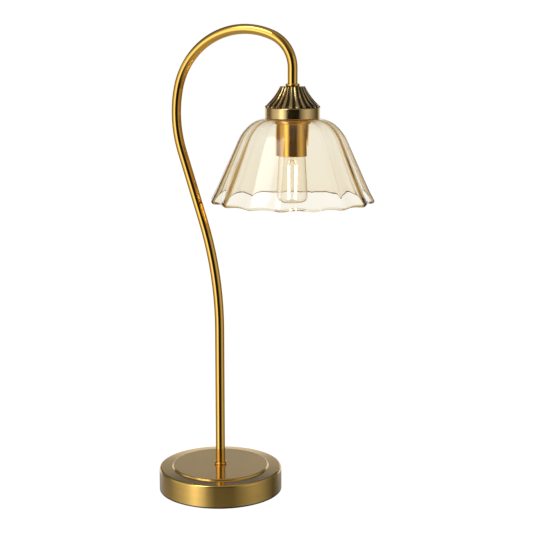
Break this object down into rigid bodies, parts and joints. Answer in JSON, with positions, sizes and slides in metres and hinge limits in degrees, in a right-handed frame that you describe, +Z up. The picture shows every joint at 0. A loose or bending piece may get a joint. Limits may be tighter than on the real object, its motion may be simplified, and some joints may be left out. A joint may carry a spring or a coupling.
{
  "type": "table lamp",
  "caption": "Table lamp with a round weighted base, a swan-neck tube and a pleated glass shade that hangs, open side down, from a fluted cap around a filament lamp.",
  "frame": {"origin": "centre of the underside of the base, on the axis of the straight stem", "axes": "+Z up the stem, +X towards the shade, +Y to the cord inlet at the back"},
  "size_m": [0.2265, 0.1632, 0.4875],
  "materials": {
    "base_brass": "satin antique, lacquered",
    "neck_brass": "polished antique, lacquered",
    "cap_brass": "cast antique, dark in the flutes",
    "gallery_brass": "brushed antique",
    "cup_brass": "polished",
    "weight_iron": "as cast",
    "pad_rubber": "matte",
    "bush_plastic": "moulded",
    "plated_steel": "zinc plated",
    "live_insulation": "moulded",
    "neutral_insulation": "moulded",
    "earth_insulation": "moulded",
    "block_plastic": "moulded",
    "gasket_rubber": "matte",
    "amber_glass": "clear amber, fire polished",
    "holder_plastic": "moulded",
    "contact_brass": "plain",
    "lamp_cap_metal": "nickel plated",
    "lamp_insulator": "glassy",
    "lamp_glass": "clear",
    "filament_coat": "lit",
    "lead_wire": "drawn wire"
  },
  "bodies": {
    "stand": {"base_cover": "base_brass", "base_weight": "weight_iron", "base_pad": "pad_rubber", "cord_bush": "bush_plastic", "stem_collar": "neck_brass", "stem_nut": "plated_steel", "stem_washer": "plated_steel", "earth_tag": "plated_steel", "earth_wire": "earth_insulation", "terminal_block": "block_plastic", "terminal_screws": "plated_steel", "live_wire": "live_insulation", "neutral_wire": "neutral_insulation", "swan_neck_tube": "neck_brass", "neck_collar": "neck_brass", "fluted_cap": "cap_brass", "shade_gallery": "gallery_brass", "top_gasket": "gasket_rubber", "holder_cup": "cup_brass", "holder_locknut": "plated_steel", "holder_body": "holder_plastic", "holder_shell": "contact_brass", "holder_contact": "contact_brass"},
    "shade": {"shade_glass": "amber_glass", "lower_gasket": "gasket_rubber"},
    "shade ring": {"shade_ring": "cup_brass"},
    "bulb feed": {"bulb_tip": "lamp_cap_metal"},
    "bulb": {"bulb_insulator": "lamp_insulator", "bulb_cap": "lamp_cap_metal", "bulb_envelope": "lamp_glass", "bulb_stem": "lamp_glass", "bulb_filaments": "filament_coat", "filament_leads": "lead_wire"}
  },
  "joints": [
    {"name": "shade_drop", "type": "slide", "parent": "stand", "child": "shade", "axis": [0, 0, -1], "range_m": [0, 0.006]},
    {"name": "shade_ring_turn", "type": "hinge", "parent": "shade", "child": "shade ring", "pos_m": [0.07998, 0, 0.391], "axis": [0, 0, -1], "range_deg": [-1, 1441]},
    {"name": "bulb_feed", "type": "slide", "parent": "stand", "child": "bulb feed", "axis": [0, 0, -1], "range_m": [0, 0.0127]},
    {"name": "bulb_turn", "type": "hinge", "parent": "bulb feed", "child": "bulb", "pos_m": [0.07998, 0, 0.378], "axis": [0, 0, -1], "range_deg": [-1, 1622]}
  ],
  "couplings": [
    {"joint": "shade_ring_turn", "follows": "shade_drop", "rad_per_m": 4188.8},
    {"joint": "bulb_turn", "follows": "bulb_feed", "rad_per_m": 2228.1}
  ]
}
